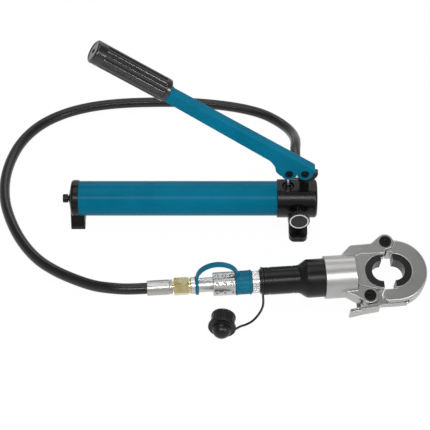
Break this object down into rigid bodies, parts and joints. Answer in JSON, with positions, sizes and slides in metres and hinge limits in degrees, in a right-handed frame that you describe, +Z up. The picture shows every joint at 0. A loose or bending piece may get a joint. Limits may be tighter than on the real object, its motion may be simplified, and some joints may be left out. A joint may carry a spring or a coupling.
{
  "type": "hydraulic pipe crimper",
  "caption": "Hand lever pump on feet with a high-pressure hose, screw coupler and dust caps, feeding a crimping head with half-round dies and a hinged, latched jaw.",
  "frame": {"origin": "on the floor, under the middle of the pump's head block, where its flat foot rests", "axes": "+Z up; +X along the pump from its rear cap to its head, which is also the way the crimping head points, turned 4.7 degrees; +Y towards the hose outlet, away from the crimping head"},
  "size_m": [0.67, 0.548, 0.3506],
  "materials": {
    "teal_paint": "satin",
    "black_casting": "satin",
    "chromed_steel": "polished",
    "bright_steel": "satin",
    "forged_steel": "ground and polished edges",
    "dark_steel": "black oxide",
    "die_steel": "dark, hardened",
    "plated_nut": "yellow zinc plated",
    "coupler_steel": "zinc plated",
    "spring_steel": "satin",
    "bearing_steel": "polished",
    "hose_rubber": "matt",
    "grip_rubber": "matt",
    "seal_rubber": "matt",
    "blue_cap": "satin moulded",
    "black_cap": "satin moulded",
    "knob_plastic": "matt",
    "filter_mesh": "sintered"
  },
  "bodies": {
    "pump": {"reservoir_tube": "teal_paint", "rear_cap": "black_casting", "suction_pipe": "bright_steel", "suction_filter": "filter_mesh", "reservoir_seals": "seal_rubber", "pump_head": "black_casting", "gland_nut": "dark_steel", "plunger_seal": "seal_rubber", "release_ball": "bearing_steel", "outlet_adaptor": "bright_steel", "hose_ferrule_pump": "coupler_steel", "hose": "hose_rubber", "hose_ferrule_tool": "coupler_steel", "swivel_nut": "plated_nut", "coupler_body": "coupler_steel", "coupler_nipple": "coupler_steel", "coupler_poppets": "bright_steel", "knurled_nut": "coupler_steel", "blue_dust_cap": "blue_cap", "strap_ring": "black_cap", "black_dust_cap": "black_cap", "cap_tether": "black_cap", "ram_cylinder": "black_casting", "return_spring": "spring_steel", "yoke": "forged_steel", "jaw_pin": "dark_steel", "latch_pin": "dark_steel", "latch_spring": "spring_steel"},
    "lever": {"lever_channel": "teal_paint", "grip_core": "bright_steel", "lever_grip": "grip_rubber", "fulcrum_pin": "dark_steel", "plunger_pin": "dark_steel", "lever_clips": "spring_steel"},
    "plunger": {"plunger": "chromed_steel"},
    "release_valve": {"release_knob": "knob_plastic", "release_stem": "bright_steel"},
    "filler_screw": {"filler_screw": "black_casting"},
    "coupler_sleeve": {"coupler_sleeve": "coupler_steel"},
    "ram": {"ram_piston": "chromed_steel", "piston_seal": "seal_rubber", "ram_block": "forged_steel", "moving_die": "die_steel", "moving_die_pin": "spring_steel"},
    "jaw": {"c_jaw": "forged_steel", "fixed_die": "die_steel", "fixed_die_pin": "spring_steel"},
    "latch": {"latch": "forged_steel"}
  },
  "joints": [
    {"name": "lever_hinge", "type": "hinge", "parent": "pump", "child": "lever", "pos_m": [0.0085, 0, 0.1025], "axis": [0, 1, 0], "range_deg": [-32, 17]},
    {"name": "plunger_slide", "type": "slide", "parent": "pump", "child": "plunger", "axis": [0, 0, 1], "range_m": [-0.0135, 0.0072]},
    {"name": "release_turn", "type": "hinge", "parent": "pump", "child": "release_valve", "pos_m": [0, -0.045, 0.042], "axis": [0, -1, 0], "range_deg": [0, 270]},
    {"name": "filler_turn", "type": "hinge", "parent": "pump", "child": "filler_screw", "pos_m": [-0.3645, 0, 0.042], "axis": [-1, 0, 0], "range_deg": [0, 360]},
    {"name": "sleeve_turn", "type": "hinge", "parent": "pump", "child": "coupler_sleeve", "pos_m": [-0.11966, -0.17508, 0.0345], "axis": [-0.9966, -0.0819, 0], "range_deg": [0, 360]},
    {"name": "ram_slide", "type": "slide", "parent": "pump", "child": "ram", "axis": [0.9966, 0.0819, 0], "range_m": [0, 0.0173], "stiffness_N_per_m": 6000, "springref_m": -0.015, "deforming": ["return_spring"]},
    {"name": "jaw_swing", "type": "hinge", "parent": "pump", "child": "jaw", "pos_m": [0.12588, -0.11058, 0.05058], "axis": [0.028, -0.3409, 0.9397], "range_deg": [0, 90]},
    {"name": "latch_rock", "type": "hinge", "parent": "pump", "child": "latch", "pos_m": [0.09954, -0.19289, 0.0215], "axis": [0.028, -0.3409, 0.9397], "range_deg": [-36, 0], "stiffness_Nm_per_rad": 0.5, "springref_deg": 17.19, "deforming": ["latch_spring"]}
  ],
  "couplings": [
    {"joint": "plunger_slide", "follows": "lever_hinge", "m_per_rad": 0.0238},
    {"joint": "latch_rock", "follows": "jaw_swing", "ratio": -0.4}
  ]
}
